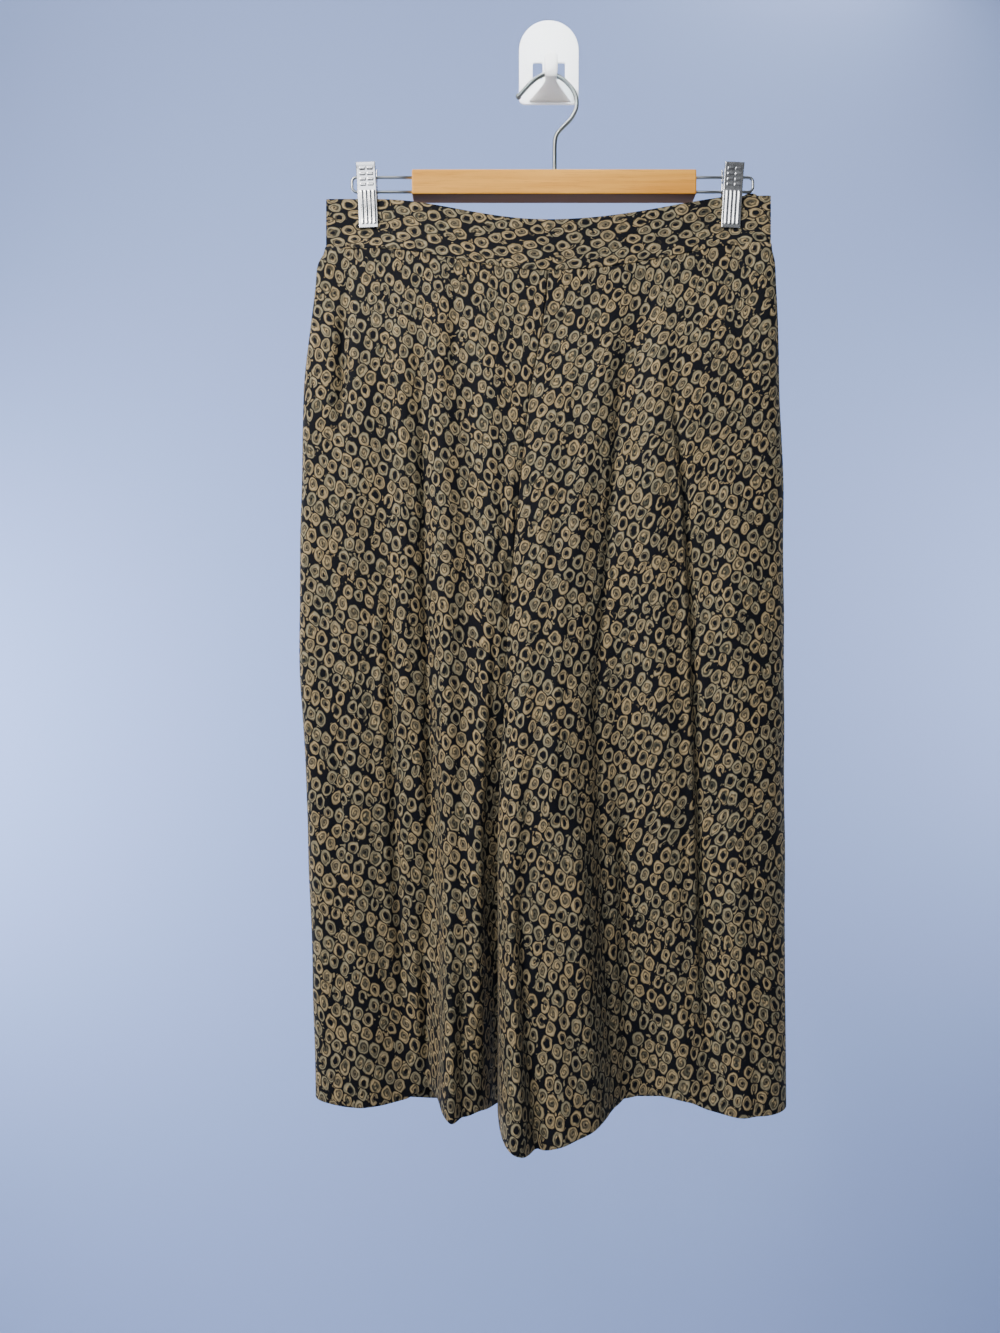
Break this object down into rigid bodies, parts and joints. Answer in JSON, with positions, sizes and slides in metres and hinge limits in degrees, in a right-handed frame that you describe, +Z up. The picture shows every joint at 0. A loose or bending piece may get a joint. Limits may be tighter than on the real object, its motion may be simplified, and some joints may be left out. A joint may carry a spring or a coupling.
{
  "type": "culottes on a clip hanger and wall hook",
  "caption": "Wide-legged cropped culottes with a plain waistband, clipped to a wooden hanger that hangs from an arched adhesive wall hook.",
  "frame": {"origin": "on the back face of the wall hook's plate, on its centre line, 24.8 mm below its top", "axes": "+X to the viewer's right along the waist, +Y into the wall, +Z up"},
  "size_m": [0.4125, 0.0886, 0.9478],
  "materials": {
    "cloth": "soft printed viscose crepe, tan scribbled rings on near-black",
    "wood": "satin varnished pale wood",
    "wire": "dull nickel-plated steel wire",
    "clip": "bright nickel-plated pressed steel",
    "plastic": "white moulded plastic, soft gloss"
  },
  "bodies": {
    "root": {"front_left": "cloth", "front_right": "cloth", "back_left": "cloth", "back_right": "cloth", "waistband_front": "cloth", "waistband_back": "cloth", "wood_bar": "wood", "hook_wire": "wire", "rod_left": "wire", "rod_right": "wire", "clip_left_jaw_front": "clip", "clip_left_jaw_back": "clip", "clip_left_saddle": "clip", "clip_right_jaw_front": "clip", "clip_right_jaw_back": "clip", "clip_right_saddle": "clip", "wall_hook": "plastic"}
  },
  "joints": []
}
